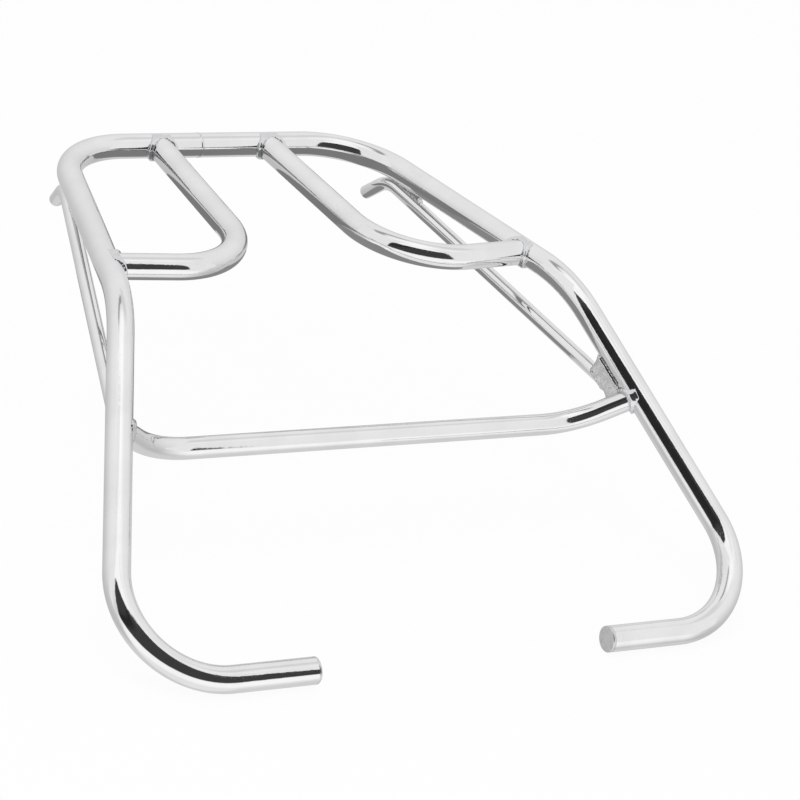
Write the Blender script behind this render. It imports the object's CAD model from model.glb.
"""A chromed luggage rack in a pale studio: bent tubes, struts, plates and their rippled welds."""

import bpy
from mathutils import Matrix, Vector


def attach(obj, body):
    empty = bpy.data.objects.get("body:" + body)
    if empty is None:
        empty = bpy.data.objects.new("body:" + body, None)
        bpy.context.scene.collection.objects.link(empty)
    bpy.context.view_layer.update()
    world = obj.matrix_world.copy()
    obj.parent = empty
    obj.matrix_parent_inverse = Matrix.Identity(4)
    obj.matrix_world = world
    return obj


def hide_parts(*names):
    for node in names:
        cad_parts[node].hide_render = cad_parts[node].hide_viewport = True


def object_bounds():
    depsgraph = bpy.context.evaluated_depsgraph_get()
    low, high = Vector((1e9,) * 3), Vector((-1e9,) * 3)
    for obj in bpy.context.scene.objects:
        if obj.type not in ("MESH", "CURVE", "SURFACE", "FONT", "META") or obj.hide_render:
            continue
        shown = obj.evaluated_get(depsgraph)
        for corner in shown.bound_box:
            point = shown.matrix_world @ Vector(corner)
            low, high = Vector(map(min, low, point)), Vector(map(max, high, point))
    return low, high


bl_info = {
    "name": "Luggage Rack",
    "version": (1, 0, 0),
    "blender": (4, 5, 0),
    "location": "View3D > Sidebar > Rack",
    "description": "Builds a chromed tubular luggage rack and the studio around it",
    "category": "Add Mesh",
}

from math import atan2, ceil, cos, degrees, pi, radians, sin, tan

import bpy
from bpy.props import FloatProperty, FloatVectorProperty, IntProperty, PointerProperty
from mathutils import Matrix, Vector

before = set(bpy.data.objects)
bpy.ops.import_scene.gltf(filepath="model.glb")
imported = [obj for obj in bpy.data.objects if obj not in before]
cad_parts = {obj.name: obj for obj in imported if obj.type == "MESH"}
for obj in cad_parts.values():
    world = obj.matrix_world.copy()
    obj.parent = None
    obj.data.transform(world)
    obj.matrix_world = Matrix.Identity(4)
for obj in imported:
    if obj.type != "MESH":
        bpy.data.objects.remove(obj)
CAD_BOX = [list(corner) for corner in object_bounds()]

X_AXIS = Vector((1, 0, 0))
SIDES = (("right", 1), ("left", -1))

# Bend radii, to the centreline
FOOT_BEND = 0.062
SHOULDER_BEND = 0.095
CORNER_BEND = 0.064
INNER_BEND = 0.060
CROSS_BEND = 0.068
STRUT_BEND = 0.020

# The butt weld on the rear bar: its place from the middle, and how far each half stops short of it
SEAM_X = -0.012
SEAM_STOP = 0.0004

# Inner deck tubes: distance apart at the rear bar and at their front corners, how far those corners
# stop short of the deck's front corners, and how far each tube runs back from there to the rail
INNER_REAR_WIDTH = 0.088
INNER_FRONT_WIDTH = 0.105
INNER_REACH = 0.034
INNER_SWEEP = 0.010

# Crossbar: its place down the leg, and how far each end spreads, leads and rises from its bend
CROSS_PLACE = 0.097
CROSS_SPREAD = 0.038
CROSS_LEAD = 0.017
CROSS_RISE = 0.029

# Struts: the front end as seen from the crossbar's end, the bend's place ahead of the rear bar,
# the gap under the rail, and the slope and length of the peg
STRUT_IN = 0.008
STRUT_BEHIND = 0.021
STRUT_BELOW = 0.005
STRUT_PLACE = 0.038
STRUT_GAP = 0.0003
PEG_SLOPE = radians(44)
PEG_LENGTH = 0.028

# Surfaces made from a copy of the CAD solid: voxel size, height of the ripples, distance between them
PLATE_FACE = (0.0005, 0.00012, 0.003)
SEAM_BEAD = (0.0004, 0.00004, 0.0020)
BEADS = (
    ("inner_rear_weld", (0.0005, 0.00022, 0.0028)),
    ("inner_rail_weld", (0.0005, 0.00022, 0.0028)),
    ("crossbar_weld", (0.0005, 0.0002, 0.0036)),
    ("strut_weld", (0.0005, 0.0003, 0.0024)),
    ("gusset_leg_weld", (0.0004, 0.00012, 0.0022)),
    ("gusset_strut_weld", (0.0004, 0.0003, 0.0022)),
)
# The pattern seldom reaches its full range, so it is laid on this much stronger, and this level stays put
RIPPLE_GAIN = 2.4
RIPPLE_MIDDLE = 0.35
# Each seed moves the ripple pattern this far along X, Y and Z
SEED_SHIFT = (0.137, 0.071, 0.093)
PLATE_SEED = 40
SEAM_SEED = 31

# Points closer together than this are one
MERGE = 1e-6

# The camera of the photograph: place, turns in radians, and lens on a sensor of 36 mm
CAMERA_PLACE = (-1.13534, -1.49610, 1.09736)
CAMERA_YAW = -0.60682
CAMERA_PITCH = -0.46005
CAMERA_ROLL = -0.23834
CAMERA_LENS = 150.466
# A further turn of half a pixel, sideways and upwards
CAMERA_NUDGE = 0.00015

# The doorway that the metal mirrors: its heading in degrees from +Y towards +X, its top edge and sides,
# and how far the wall reaches sideways and up
DOOR_HEADING = -155
DOOR_TOP = 1.22
DOOR_LEFT = -0.415
DOOR_RIGHT = 0.44
WALL_REACH = 5.0

# The floor's width, and how far it lies below the rack's lowest point
FLOOR_SIZE = 30
FLOOR_GAP = 0.0002


# Settings


class RackSizes(bpy.types.PropertyGroup):
    """Sizes of the rack's tubes and bars"""

    deck_rear_width: FloatProperty(
        name="Deck Rear Width", description="Between the rails at the rear bar, centre to centre",
        default=0.246, min=0.1, max=0.5, unit="LENGTH", precision=4)
    deck_front_width: FloatProperty(
        name="Deck Front Width", description="Between the rails at the front corners, centre to centre",
        default=0.350, min=0.1, max=0.6, unit="LENGTH", precision=4)
    deck_depth: FloatProperty(
        name="Deck Depth", description="From the front corners back to the rear bar",
        default=0.225, min=0.1, max=0.5, unit="LENGTH", precision=4)
    leg_reach: FloatProperty(
        name="Leg Reach", description="How far the leg ends lie ahead of the front corners",
        default=0.225, min=0.1, max=0.5, unit="LENGTH", precision=4)
    leg_drop: FloatProperty(
        name="Leg Drop", description="How far the leg ends lie below the deck",
        default=0.150, min=0.05, max=0.3, unit="LENGTH", precision=4)
    leg_span: FloatProperty(
        name="Leg Span", description="Width over the bottom corners of the legs, centre to centre",
        default=0.504, min=0.2, max=0.8, unit="LENGTH", precision=4)
    end_gap: FloatProperty(
        name="End Gap", description="Free gap between the two leg ends",
        default=0.222, min=0.05, max=0.4, unit="LENGTH", precision=4)
    tube_diameter: FloatProperty(
        name="Tube Diameter", description="Outer diameter of the hoop and the inner deck tubes",
        default=0.018, min=0.008, max=0.03, unit="LENGTH", precision=4)
    crossbar_diameter: FloatProperty(
        name="Crossbar Diameter", description="Outer diameter of the lower crossbar",
        default=0.015, min=0.008, max=0.03, unit="LENGTH", precision=4)
    strut_diameter: FloatProperty(
        name="Strut Diameter", description="Diameter of the round bar of the struts",
        default=0.010, min=0.005, max=0.02, unit="LENGTH", precision=4)
    end_disc_thickness: FloatProperty(
        name="End Disc Thickness", description="Thickness of the discs that close the leg ends",
        default=0.002, min=0.001, max=0.005, unit="LENGTH", precision=4)
    tube_sides: IntProperty(
        name="Tube Sides", description="Faces round a tube",
        default=72, min=16, max=128)


class RackFinish(bpy.types.PropertyGroup):
    """Colours and polish of the plating"""

    chrome_color: FloatVectorProperty(
        name="Chrome", description="Colour of the bright chrome plating",
        subtype="COLOR", size=4, min=0, max=1, default=(0.86, 0.86, 0.86, 1))
    disc_color: FloatVectorProperty(
        name="End Disc", description="Colour of the duller plating on the ground end discs",
        subtype="COLOR", size=4, min=0, max=1, default=(0.78, 0.78, 0.78, 1))
    plate_color: FloatVectorProperty(
        name="Plate", description="Colour of the rough plating on the gusset plates",
        subtype="COLOR", size=4, min=0, max=1, default=(0.90, 0.90, 0.90, 1))
    weld_color: FloatVectorProperty(
        name="Weld", description="Colour of the plated weld beads",
        subtype="COLOR", size=4, min=0, max=1, default=(0.80, 0.80, 0.80, 1))
    polish: FloatProperty(
        name="Polish", description="Roughness of the bright chrome",
        subtype="FACTOR", default=0.05, min=0, max=1)


def sizes():
    return bpy.context.scene.rack_sizes


def finish():
    return bpy.context.scene.rack_finish


# Centrelines


class Lines:
    """Corner points of the right-hand side's centrelines, worked out from the sizes."""

    def __init__(self, s):
        self.tube = s.tube_diameter / 2
        self.bar = s.strut_diameter / 2
        self.cross = s.crossbar_diameter / 2
        self.deck = s.leg_drop
        self.rear_y = s.leg_reach + s.deck_depth
        self.end = Vector((s.end_gap / 2, 0, 0))
        self.foot = Vector((s.leg_span / 2, 0, 0))
        self.shoulder = Vector((s.deck_front_width / 2, s.leg_reach, self.deck))
        self.corner = Vector((s.deck_rear_width / 2, self.rear_y, self.deck))

        inner_front = s.leg_reach + INNER_REACH
        self.inner_rear = Vector((INNER_REAR_WIDTH / 2, self.rear_y, self.deck))
        self.inner_corner = Vector((INNER_FRONT_WIDTH / 2, inner_front, self.deck))
        self.inner_rail = self.rail_at(inner_front + INNER_SWEEP)

        down_leg = (self.foot - self.shoulder).normalized()
        self.cross_leg = self.shoulder + down_leg * CROSS_PLACE
        self.cross_corner = self.cross_leg - Vector((CROSS_SPREAD, -CROSS_LEAD, CROSS_RISE))

        self.strut_end = self.cross_leg + Vector((-STRUT_IN, STRUT_BEHIND, -STRUT_BELOW))
        under = self.rail_at(self.rear_y - STRUT_PLACE)
        top = self.deck - self.tube - self.bar - STRUT_GAP
        run = Vector((under.x - self.strut_end.x, under.y - self.strut_end.y, 0))
        climb = atan2(top - self.strut_end.z, run.length)
        # how far the corner point lies above the bend's highest point, which is what keeps the gap
        lift = STRUT_BEND * (tan((climb + PEG_SLOPE) / 2) * sin(climb) - 1 + cos(climb))
        self.strut_bend = Vector((under.x, under.y, top + lift))
        peg_way = run.normalized() * cos(PEG_SLOPE) - Vector((0, 0, sin(PEG_SLOPE)))
        self.peg = self.strut_bend + peg_way * PEG_LENGTH

    def rail_at(self, y):
        """The point of the rail's centreline at y."""
        share = (self.rear_y - y) / (self.corner.y - self.shoulder.y)
        return self.corner.lerp(self.shoulder, share)


def mirrored(points, side):
    """The points on the named side: 1 keeps them on the right, -1 takes them to the left."""
    return [Vector((p.x * side, p.y, p.z)) for p in points]


# Modelling helpers


def deselect():
    if bpy.context.object and bpy.context.object.mode != "OBJECT":
        bpy.ops.object.mode_set(mode="OBJECT")
    bpy.ops.object.select_all(action="DESELECT")


def edit_all():
    bpy.ops.object.mode_set(mode="EDIT")
    bpy.ops.mesh.select_mode(type="VERT")
    bpy.ops.mesh.select_all(action="SELECT")


def leave_edit():
    bpy.ops.object.mode_set(mode="OBJECT")


def pick_faces(obj, wanted):
    """Selects, in edit mode, the faces that wanted says, and nothing else."""
    leave_edit()
    for group in (obj.data.vertices, obj.data.edges, obj.data.polygons):
        group.foreach_set("select", [False] * len(group))
    for face in obj.data.polygons:
        face.select = wanted(face)
    bpy.ops.object.mode_set(mode="EDIT")
    bpy.ops.mesh.select_mode(type="FACE")


def apply_modifier(obj, kind, **settings):
    bpy.context.view_layer.objects.active = obj
    modifier = obj.modifiers.new(kind.title(), kind)
    for key, value in settings.items():
        setattr(modifier, key, value)
    bpy.ops.object.modifier_apply(modifier=modifier.name)


def finish_piece(obj, name, node, material, crease=35):
    """Names a finished piece, gives it its material and lets it stand for its node."""
    obj.name = name
    obj.data.name = name
    deselect()
    obj.select_set(True)
    bpy.context.view_layer.objects.active = obj
    bpy.ops.object.shade_smooth_by_angle(angle=radians(crease))
    obj.data.materials.clear()
    obj.data.materials.append(material)
    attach(obj, "root")
    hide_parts(node)
    obj.select_set(False)
    return obj


def bend_at(before, corner, after, radius):
    """Where a bend starts and ends, its centre, its axis and how far it turns."""
    back = (before - corner).normalized()
    on = (after - corner).normalized()
    between = back.angle(on)
    run = radius / tan(between / 2)
    centre = corner + (back + on).normalized() * (radius / sin(between / 2))
    axis = (-back).cross(on).normalized()
    return corner + back * run, corner + on * run, centre, axis, pi - between


def bent_bar(points, bends, radius, step=4.0):
    """A round bar as a bender makes it: a ring is pushed along each straight and spun round each bend.

    bends gives each inner corner its bend radius, and step is the turn of one face in degrees.
    """
    deselect()
    heading = (points[1] - points[0]).normalized()
    bpy.ops.mesh.primitive_circle_add(
        vertices=sizes().tube_sides, radius=radius, location=points[0],
        rotation=heading.to_track_quat("Z", "Y").to_euler())
    obj = bpy.context.object
    bpy.ops.object.transform_apply(location=True, rotation=True, scale=True)
    edit_all()
    here = points[0]
    for i, bend_radius in enumerate(bends):
        start, end, centre, axis, turn = bend_at(points[i], points[i + 1], points[i + 2], bend_radius)
        bpy.ops.mesh.extrude_region_move(TRANSFORM_OT_translate={"value": start - here})
        # spin counts its angle the other way round the axis
        bpy.ops.mesh.spin(
            steps=ceil(degrees(turn) / step), angle=-turn, center=centre, axis=axis,
            dupli=False, use_normal_flip=False, use_auto_merge=False)
        here = end
    bpy.ops.mesh.extrude_region_move(TRANSFORM_OT_translate={"value": points[-1] - here})
    bpy.ops.mesh.select_all(action="SELECT")
    bpy.ops.mesh.remove_doubles(threshold=MERGE)
    bpy.ops.mesh.fill_holes(sides=0)
    bpy.ops.mesh.normals_make_consistent(inside=False)
    leave_edit()
    return obj


def closes_bar(face, end, heading):
    """Whether a face is the flat one that closes a bar at this end."""
    many_sided = len(face.vertices) > 4
    near = (face.center - end).length < 0.001
    square = abs(face.normal.dot(heading)) > 0.99
    return many_sided and near and square


def round_ends(obj, ends, width, segments):
    """Breaks the edge of each end, which is given by its middle and the bar's heading there."""
    for end, heading in ends:
        pick_faces(obj, lambda face: closes_bar(face, end, heading))
        bpy.ops.mesh.bevel(offset=width, segments=segments, affect="EDGES")
    leave_edit()


def rippled_copy(node, surface, seed):
    """A copy of a node's plain solid, remeshed and smoothed, with the lumps and ripples of its surface."""
    voxel, height, ripple = surface
    deselect()
    obj = bpy.data.objects.new(node + "_bead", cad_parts[node].data.copy())
    bpy.context.scene.collection.objects.link(obj)
    obj.data.materials.clear()
    bpy.context.view_layer.objects.active = obj
    obj.select_set(True)
    edit_all()
    bpy.ops.mesh.remove_doubles(threshold=MERGE)
    bpy.ops.mesh.normals_make_consistent(inside=False)
    leave_edit()
    apply_modifier(obj, "REMESH", mode="VOXEL", voxel_size=voxel)
    apply_modifier(obj, "SMOOTH", factor=0.5, iterations=6)

    lumps = bpy.data.textures.new(node + "_lumps", "CLOUDS")
    lumps.noise_scale = ripple
    lumps.noise_depth = 1
    shift = bpy.data.objects.new(node + "_seed", None)
    bpy.context.scene.collection.objects.link(shift)
    shift.location = [seed * distance for distance in SEED_SHIFT]
    bpy.context.view_layer.update()
    apply_modifier(
        obj, "DISPLACE", texture=lumps, texture_coords="OBJECT", texture_coords_object=shift,
        strength=height * RIPPLE_GAIN, mid_level=RIPPLE_MIDDLE)
    bpy.data.objects.remove(shift)
    return obj


# Materials


class Graph:
    """A short way to wire shader nodes by hand."""

    def __init__(self, tree):
        self.tree = tree
        tree.nodes.clear()

    def add(self, kind, inputs=None, **settings):
        node = self.tree.nodes.new(kind)
        for key, value in settings.items():
            setattr(node, key, value)
        for key, value in (inputs or {}).items():
            self.feed(node.inputs[key], value)
        return node

    def feed(self, socket, value):
        if isinstance(value, bpy.types.NodeSocket):
            self.tree.links.new(value, socket)
        else:
            socket.default_value = value

    def math(self, operation, *values):
        return self.add("ShaderNodeMath", dict(enumerate(values)), operation=operation).outputs[0]

    def product(self, *values):
        out = values[0]
        for value in values[1:]:
            out = self.math("MULTIPLY", out, value)
        return out

    def split(self, vector):
        return self.add("ShaderNodeSeparateXYZ", {"Vector": vector}).outputs

    def noise(self, place, scale, detail=3.0, roughness=0.55, distortion=0.0):
        inputs = {
            "Vector": place, "Scale": scale, "Detail": detail,
            "Roughness": roughness, "Distortion": distortion}
        return self.add("ShaderNodeTexNoise", inputs).outputs[0]

    def cells(self, place, scale):
        """Distance to the nearest of many scattered points."""
        inputs = {"Vector": place, "Scale": scale, "Randomness": 1.0}
        return self.add("ShaderNodeTexVoronoi", inputs, feature="F1").outputs["Distance"]

    def ease(self, value, low, high, at_low=0.0, at_high=1.0):
        """A smooth step from at_low to at_high as value goes from low to high."""
        inputs = {"Value": value, "From Min": low, "From Max": high, "To Min": at_low, "To Max": at_high}
        return self.add("ShaderNodeMapRange", inputs, interpolation_type="SMOOTHSTEP").outputs[0]

    def fall(self, value, low, high):
        """A smooth step from 1 down to 0 as value goes from low to high."""
        return self.ease(value, low, high, 1.0, 0.0)

    def tint(self, share, first, second):
        """A colour that goes from first to second as share goes from 0 to 1."""
        node = self.add("ShaderNodeMix", {0: share}, data_type="RGBA")
        self.feed(node.inputs[6], first)
        self.feed(node.inputs[7], second)
        return node.outputs[2]

    def layer(self, share, below, above):
        """A level that goes from below to above as share goes from 0 to 1."""
        return self.add("ShaderNodeMix", {0: share, 2: below, 3: above}, data_type="FLOAT").outputs[0]

    def mixed_shader(self, share, first, second):
        return self.add("ShaderNodeMixShader", {0: share, 1: first.outputs[0], 2: second.outputs[0]})


def shaded(color, factor):
    return (color[0] * factor, color[1] * factor, color[2] * factor, 1)


def new_graph(name):
    material = bpy.data.materials.new(name)
    material.use_nodes = True
    return Graph(material.node_tree)


def new_plating(name):
    """A graph for a plated surface, and the place on the piece that its patterns follow."""
    graph = new_graph(name)
    return graph, graph.add("ShaderNodeTexCoord").outputs["Object"]


def close_plating(graph, color, roughness, bumps):
    """The metal shader, with its bumps stacked one on another: (height, strength, distance)."""
    normal = None
    for height, strength, distance in bumps:
        inputs = {"Height": height, "Strength": strength, "Distance": distance}
        if normal:
            inputs["Normal"] = normal
        normal = graph.add("ShaderNodeBump", inputs).outputs[0]
    shader = graph.add(
        "ShaderNodeBsdfPrincipled",
        {"Base Color": color, "Metallic": 1.0, "Roughness": roughness, "Normal": normal})
    graph.add("ShaderNodeOutputMaterial", {"Surface": shader.outputs[0]})


def bright_chrome():
    """Polished chrome: faint waves left by the polishing wheel, fine grain, and pinholes in patches."""
    look = finish()
    chrome = look.chrome_color
    graph, place = new_plating("bright_chrome")
    clouding = graph.ease(graph.noise(place, scale=35), 0.35, 0.65)
    smears = graph.noise(place, scale=160, detail=4)
    grain = graph.noise(place, scale=2600, detail=2, roughness=0.6)
    waves = graph.noise(place, scale=90, detail=2, roughness=0.5)
    patches = graph.ease(graph.noise(place, scale=14, detail=2), 0.50, 0.72)
    pinholes = graph.product(graph.fall(graph.cells(place, 900.0), 0.10, 0.22), patches)

    clean = graph.tint(clouding, tuple(chrome), shaded(chrome, 0.955))
    color = graph.tint(graph.product(pinholes, 0.55), clean, shaded(chrome, 0.35))
    roughness = graph.math(
        "ADD",
        graph.ease(smears, 0.35, 0.7, look.polish * 0.7, look.polish * 1.6),
        graph.product(pinholes, 0.25))
    close_plating(graph, color, roughness, [
        (waves, 0.05, 0.002),
        (grain, 0.05, 0.0001),
        (graph.math("SUBTRACT", 1.0, pinholes), 0.25, 0.0001)])


def ground_disc():
    """Plating over a ground face: rings left by the grinding, and a duller polish."""
    disc = finish().disc_color
    graph, place = new_plating("ground_disc")
    across = graph.split(place)
    away = graph.math("SQRT", graph.math(
        "ADD", graph.math("POWER", across["Y"], 2.0), graph.math("POWER", across["Z"], 2.0)))
    # a ring every 0.45 mm
    rings = graph.math("SINE", graph.product(away, 14000.0))
    blotches = graph.noise(place, scale=420, detail=4)
    grit = graph.noise(place, scale=3000, detail=2)

    color = graph.tint(graph.ease(blotches, 0.3, 0.7), tuple(disc), shaded(disc, 0.86))
    roughness = graph.ease(blotches, 0.3, 0.75, 0.28, 0.42)
    close_plating(graph, color, roughness, [(rings, 0.12, 0.00008), (grit, 0.15, 0.0001)])


def rough_plate():
    """Plating over cut plate that was never polished: matt, mottled and finely pitted."""
    plate = finish().plate_color
    graph, place = new_plating("rough_plate")
    mottle = graph.noise(place, scale=260, detail=5, roughness=0.65, distortion=0.4)
    grit = graph.noise(place, scale=1500, detail=4, roughness=0.7)

    color = graph.tint(graph.ease(mottle, 0.3, 0.7), tuple(plate), shaded(plate, 0.76))
    roughness = graph.ease(mottle, 0.3, 0.7, 0.26, 0.46)
    close_plating(graph, color, roughness, [(mottle, 0.35, 0.0006), (grit, 0.35, 0.0003)])


def plated_weld():
    """Plating over a weld bead: bright on the crests, dark in pinholes, and smooth where it is dressed."""
    weld = finish().weld_color
    deck = Lines(sizes()).deck
    graph, place = new_plating("plated_weld")
    lumps = graph.noise(place, scale=520, detail=4, roughness=0.6, distortion=0.3)
    grit = graph.noise(place, scale=2200)
    undressed = graph.fall(graph.split(place)["Z"], deck - 0.002, deck + 0.004)
    holes = graph.product(
        graph.fall(graph.cells(place, 620.0), 0.10, 0.26), graph.fall(lumps, 0.36, 0.52), undressed)

    clean = graph.tint(graph.ease(lumps, 0.3, 0.7), shaded(weld, 0.72), tuple(weld))
    color = graph.tint(graph.product(holes, 0.85), clean, shaded(weld, 0.12))
    roughness = graph.math("ADD", graph.ease(lumps, 0.3, 0.7, 0.22, 0.10), graph.product(holes, 0.3))
    close_plating(graph, color, roughness, [
        (graph.product(lumps, graph.math("ADD", 0.25, undressed)), 0.3, 0.0005),
        (graph.math("SUBTRACT", 1.0, holes), 0.4, 0.0003),
        (grit, 0.1, 0.0002)])


def studio_floor():
    """Pale floor: almost white to the camera, matt to the light, and clear to what the metal mirrors."""
    graph = new_graph("studio_floor")
    rays = graph.add("ShaderNodeLightPath").outputs
    matt = graph.add("ShaderNodeBsdfDiffuse", {"Color": (0.9, 0.9, 0.9, 1)})
    white = graph.add("ShaderNodeEmission", {"Color": (1, 1, 1, 1), "Strength": 1.0})
    clear = graph.add("ShaderNodeBsdfTransparent")
    seen = graph.mixed_shader(graph.product(rays["Is Camera Ray"], 0.93), matt, white)
    mirrored_rays = graph.math("MAXIMUM", rays["Is Glossy Ray"], rays["Is Transmission Ray"])
    floor = graph.mixed_shader(mirrored_rays, seen, clear)
    graph.add("ShaderNodeOutputMaterial", {"Surface": floor.outputs[0]})


# Pieces


class RACK_OT_hoop(bpy.types.Operator):
    """Bend the two halves of the main hoop"""

    bl_idname = "rack.hoop"
    bl_label = "Hoop"

    def execute(self, context):
        line = Lines(sizes())
        disc = X_AXIS * sizes().end_disc_thickness
        for name, side in SIDES:
            seam = Vector((SEAM_X * side + SEAM_STOP, line.rear_y, line.deck))
            path = mirrored([line.end + disc, line.foot, line.shoulder, line.corner, seam], side)
            tube = bent_bar(path, [FOOT_BEND, SHOULDER_BEND, CORNER_BEND], line.tube, step=3.0)
            finish_piece(
                tube, name + "_hoop_tube", name + "_hoop",
                bpy.data.materials["bright_chrome"])
        return {"FINISHED"}


class RACK_OT_end_discs(bpy.types.Operator):
    """Close the two leg ends with ground discs"""

    bl_idname = "rack.end_discs"
    bl_label = "End Discs"

    def execute(self, context):
        line = Lines(sizes())
        for name, side in SIDES:
            outer, inner = mirrored([line.end, line.end + X_AXIS * sizes().end_disc_thickness], side)
            disc = bent_bar([inner, outer], [], line.tube)
            round_ends(disc, [(outer, X_AXIS)], width=0.0006, segments=4)
            round_ends(disc, [(inner, X_AXIS)], width=0.0002, segments=2)
            finish_piece(
                disc, name + "_end_disc", name + "_end_cap",
                bpy.data.materials["ground_disc"])
        return {"FINISHED"}


class RACK_OT_inner_tubes(bpy.types.Operator):
    """Bend the two inner deck tubes out to the rails"""

    bl_idname = "rack.inner_tubes"
    bl_label = "Inner Tubes"

    def execute(self, context):
        line = Lines(sizes())
        # the ends stop inside the tubes that they meet, this far short of the centreline
        ear = line.tube / 3
        for name, side in SIDES:
            path = mirrored([line.inner_rear, line.inner_corner, line.inner_rail], side)
            path[0] += (path[1] - path[0]).normalized() * ear
            path[2] += (path[1] - path[2]).normalized() * ear
            tube = bent_bar(path, [INNER_BEND], line.tube, step=2.5)
            finish_piece(
                tube, name + "_deck_tube", name + "_inner_tube",
                bpy.data.materials["bright_chrome"])
        return {"FINISHED"}


class RACK_OT_crossbar(bpy.types.Operator):
    """Bend the lower crossbar up to the legs"""

    bl_idname = "rack.crossbar"
    bl_label = "Crossbar"

    def execute(self, context):
        line = Lines(sizes())
        left_leg, left_corner = mirrored([line.cross_leg, line.cross_corner], -1)
        path = [left_leg, left_corner, line.cross_corner, line.cross_leg]
        tube = bent_bar(path, [CROSS_BEND, CROSS_BEND], line.cross, step=2.5)
        finish_piece(tube, "cross_tube", "crossbar", bpy.data.materials["bright_chrome"])
        return {"FINISHED"}


class RACK_OT_struts(bpy.types.Operator):
    """Bend the two struts and round the ends of their pegs"""

    bl_idname = "rack.struts"
    bl_label = "Struts"

    def execute(self, context):
        line = Lines(sizes())
        for name, side in SIDES:
            front, bend, peg = mirrored([line.strut_end, line.strut_bend, line.peg], side)
            bar = bent_bar([front, bend, peg], [STRUT_BEND], line.bar, step=3.0)
            ends = [(front, (bend - front).normalized()), (peg, (peg - bend).normalized())]
            round_ends(bar, ends, width=0.0009, segments=4)
            finish_piece(
                bar, name + "_strut_bar", name + "_strut",
                bpy.data.materials["bright_chrome"])
        return {"FINISHED"}


class RACK_OT_gussets(bpy.types.Operator):
    """Cut the two gusset plates and leave their faces uneven"""

    bl_idname = "rack.gussets"
    bl_label = "Gussets"

    def execute(self, context):
        for i, (name, _) in enumerate(SIDES):
            plate = rippled_copy(name + "_gusset", PLATE_FACE, PLATE_SEED + i)
            finish_piece(
                plate, name + "_gusset_plate", name + "_gusset",
                bpy.data.materials["rough_plate"], crease=50)
        return {"FINISHED"}


class RACK_OT_welds(bpy.types.Operator):
    """Lay the rippled weld beads round every joint"""

    bl_idname = "rack.welds"
    bl_label = "Welds"

    def execute(self, context):
        for side, (name, _) in enumerate(SIDES):
            for i, (kind, surface) in enumerate(BEADS):
                self.lay(name + "_" + kind, name + "_" + kind + "_bead", surface, 2 * i + side)
        self.lay("hoop_seam_weld", "hoop_seam_bead", SEAM_BEAD, SEAM_SEED)
        return {"FINISHED"}

    def lay(self, node, name, surface, seed):
        bead = rippled_copy(node, surface, seed)
        finish_piece(bead, name, node, bpy.data.materials["plated_weld"], crease=180)


class RACK_OT_materials(bpy.types.Operator):
    """Mix the plating and floor materials"""

    bl_idname = "rack.materials"
    bl_label = "Materials"

    def execute(self, context):
        for make in (bright_chrome, ground_disc, rough_plate, plated_weld, studio_floor):
            make()
        return {"FINISHED"}


# Stage


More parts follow.
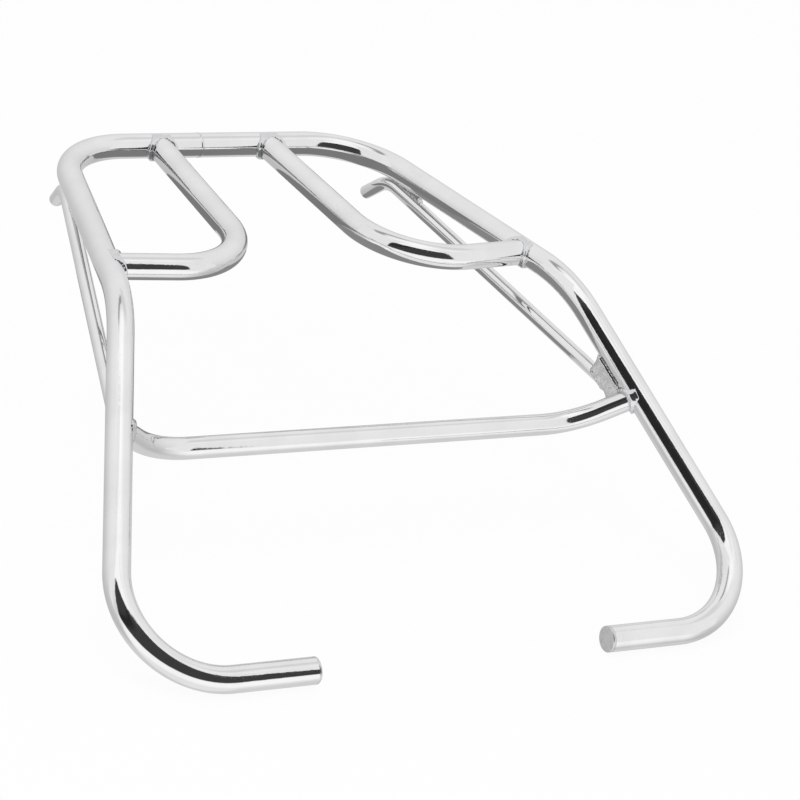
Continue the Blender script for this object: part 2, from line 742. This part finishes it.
class RACK_OT_stage(bpy.types.Operator):
    """Set up the pale floor, the soft light, the camera and the room that the chrome mirrors"""

    bl_idname = "rack.stage"
    bl_label = "Stage"

    def execute(self, context):
        self.floor()
        self.surroundings(context.scene)
        self.doorway()
        self.flags()
        self.lamp()
        self.camera(context.scene)
        context.scene.view_settings.view_transform = "Standard"
        return {"FINISHED"}

    def floor(self):
        """A wide floor, a hair below the rack's lowest point."""
        deselect()
        bpy.ops.mesh.primitive_plane_add(size=FLOOR_SIZE, location=(0, 0, CAD_BOX[0][2] - FLOOR_GAP))
        floor = bpy.context.object
        floor.name = "studio_floor"
        floor.data.materials.append(bpy.data.materials["studio_floor"])

    def surroundings(self, scene):
        """White to the camera, plain light to matt surfaces, and a room for the metal to mirror."""
        world = bpy.data.worlds.new("studio")
        world.use_nodes = True
        scene.world = world
        g = Graph(world.node_tree)
        rays = g.add("ShaderNodeLightPath").outputs
        room = g.add("ShaderNodeBackground", {"Color": self.room(g), "Strength": 1.0})
        plain = g.add("ShaderNodeBackground", {"Color": (0.8, 0.8, 0.8, 1), "Strength": 1.0})
        white = g.add("ShaderNodeBackground", {"Color": (1, 1, 1, 1), "Strength": 1.0})
        mirrored_rays = g.math("MAXIMUM", rays["Is Glossy Ray"], rays["Is Transmission Ray"])
        unseen = g.mixed_shader(mirrored_rays, plain, room)
        sky = g.mixed_shader(rays["Is Camera Ray"], unseen, white)
        g.add("ShaderNodeOutputWorld", {"Surface": sky.outputs[0]})

    def room(self, g):
        """How bright the room is in each direction; its angles are in degrees.

        height is measured from the level, and around from the middle of the doorway.
        """
        direction = g.add("ShaderNodeTexCoord").outputs["Generated"]
        turned = g.add(
            "ShaderNodeVectorRotate", {"Vector": direction, "Angle": radians(360 + DOOR_HEADING)},
            rotation_type="Z_AXIS")
        part = g.split(turned.outputs[0])
        around = g.product(g.math("ARCTAN2", part["X"], part["Y"]), degrees(1))
        height = g.product(g.math("ARCSINE", part["Z"]), degrees(1))
        aside = g.math("ABSOLUTE", around)

        # the walls, darker towards the floor
        walls = g.math("ADD", g.ease(height, -40, 45, 0.58, 0.91), g.ease(height, -56, -38, 0.14, 0.0))
        # the lit wall over the doorway, and the pale floor in front of it
        glow = g.product(g.fall(aside, 78, 112), g.ease(height, 46, 70))
        ahead = g.product(g.ease(around, -86, -54), g.fall(around, 58, 80))
        front = g.product(ahead, g.fall(height, -2, 4))
        front_level = g.ease(height, -46, -24, 0.90, 1.08)
        # the ceiling, with a duller stretch and a grey strip beside it
        ceiling = g.ease(height, 72, 82)
        haze = g.product(g.ease(height, 52, 58), g.fall(height, 66, 72), g.fall(around, -130, -105))
        strip = g.product(g.ease(height, 61, 65), g.fall(height, 69, 73), g.ease(around, 84, 108))
        # the dark beyond the doorway, with a darker streak slanting across it
        door = g.product(
            g.ease(height, 1, 6), g.fall(height, 67, 71), g.ease(around, -72, -62), g.fall(around, 62, 66))
        slant = g.math("SUBTRACT", g.math("ADD", g.product(height, 0.9), around), 66.0)
        streak = g.product(door, g.fall(g.math("ABSOLUTE", slant), 2, 14), g.ease(around, 0, 20))

        level = walls
        for share, shade in (
                (glow, 1.06),
                (front, front_level),
                (haze, 0.76),
                (ceiling, 1.12),
                (strip, 0.40),
                (door, 0.050),
                (streak, 0.022)):
            level = g.layer(share, level, shade)
        return level

    def card(self, name, level, location, rotation, width, height):
        """A plain glowing card that only the metal sees."""
        graph = new_graph(name)
        glow = graph.add("ShaderNodeEmission", {"Color": (level, level, level, 1), "Strength": 1.0})
        graph.add("ShaderNodeOutputMaterial", {"Surface": glow.outputs[0]})
        deselect()
        bpy.ops.mesh.primitive_plane_add(size=1, location=location, rotation=rotation)
        card = bpy.context.object
        card.name = name
        card.scale = (width, height, 1)
        card.data.materials.append(bpy.data.materials[name])
        card.visible_camera = False
        card.visible_diffuse = False
        card.visible_transmission = False
        card.visible_shadow = False

    def doorway(self):
        """The pale wall ahead of the rack, with an opening that the dark shows through."""
        turn = radians(DOOR_HEADING)
        away = Vector((sin(turn), cos(turn), 0))
        along = Vector((-away.y, away.x, 0))
        facing = (-away).to_track_quat("Z", "Y").to_euler()
        # name, level, distance from the origin, left and right edge, bottom and top
        for name, level, distance, left, right, bottom, top in (
                ("wall_left", 0.92, 0.105, -WALL_REACH, DOOR_LEFT, 0.0, WALL_REACH),
                ("wall_right", 0.92, 0.35, DOOR_RIGHT, WALL_REACH, 0.0, WALL_REACH),
                ("wall_over", 1.08, 0.35, -0.9, DOOR_RIGHT, DOOR_TOP, WALL_REACH)):
            middle = away * distance + along * (left + right) / 2 + Vector((0, 0, (bottom + top) / 2))
            self.card(name, level, middle, facing, right - left, top - bottom)

    def flags(self):
        """Level grey cards under the deck, which keep the tubes' lower sides from going white."""
        flat = (0, 0, 0)
        self.card("flag_floor", 0.27, (-0.01, 0.34, 0.05), flat, 0.34, 0.22)
        self.card("flag_rear", 0.22, (0.0, 0.393, 0.128), flat, 0.24, 0.09)

    def lamp(self):
        """One large soft lamp above, which the metal doesn't mirror."""
        light = bpy.data.lights.new("soft_box", "AREA")
        light.shape = "DISK"
        light.size = 1.6
        light.energy = 9
        lamp = bpy.data.objects.new("soft_box", light)
        bpy.context.scene.collection.objects.link(lamp)
        lamp.location = (-0.5, -0.2, 1.9)
        aim = Vector((0, 0.25, 0)) - lamp.location
        lamp.rotation_euler = aim.to_track_quat("-Z", "Y").to_euler()
        lamp.visible_glossy = False

    def camera(self, scene):
        data = bpy.data.cameras.new("camera")
        data.sensor_width = 36
        data.lens = CAMERA_LENS
        data.clip_start = 0.05
        data.clip_end = 60
        camera = bpy.data.objects.new("camera", data)
        scene.collection.objects.link(camera)
        place = Matrix.Translation(CAMERA_PLACE)
        yaw = Matrix.Rotation(CAMERA_YAW, 4, "Z")
        pitch = Matrix.Rotation(CAMERA_PITCH, 4, "X")
        roll = Matrix.Rotation(CAMERA_ROLL, 4, "Y")
        look = Matrix.Rotation(pi / 2, 4, "X")
        nudge = Matrix.Rotation(CAMERA_NUDGE, 4, "Y") @ Matrix.Rotation(CAMERA_NUDGE, 4, "X")
        camera.matrix_world = place @ yaw @ pitch @ roll @ look @ nudge
        scene.camera = camera


class RACK_PT_panel(bpy.types.Panel):
    """Lists the rack's steps, sizes and finishes"""

    bl_idname = "RACK_PT_panel"
    bl_label = "Luggage Rack"
    bl_space_type = "VIEW_3D"
    bl_region_type = "UI"
    bl_category = "Rack"

    def draw(self, context):
        layout = self.layout
        for step in STEPS:
            layout.operator(step.bl_idname)
        for group in (context.scene.rack_sizes, context.scene.rack_finish):
            column = layout.column()
            for name in group.__annotations__:
                column.prop(group, name)


STEPS = (
    RACK_OT_materials, RACK_OT_hoop, RACK_OT_end_discs, RACK_OT_inner_tubes, RACK_OT_crossbar,
    RACK_OT_struts, RACK_OT_gussets, RACK_OT_welds, RACK_OT_stage)
CLASSES = (RackSizes, RackFinish) + STEPS + (RACK_PT_panel,)


def register():
    for cls in CLASSES:
        bpy.utils.register_class(cls)
    bpy.types.Scene.rack_sizes = PointerProperty(type=RackSizes)
    bpy.types.Scene.rack_finish = PointerProperty(type=RackFinish)


def unregister():
    del bpy.types.Scene.rack_finish
    del bpy.types.Scene.rack_sizes
    for cls in reversed(CLASSES):
        bpy.utils.unregister_class(cls)


def main():
    register()
    for step in STEPS:
        family, name = step.bl_idname.split(".")
        getattr(getattr(bpy.ops, family), name)()


if __name__ == "__main__":
    main()
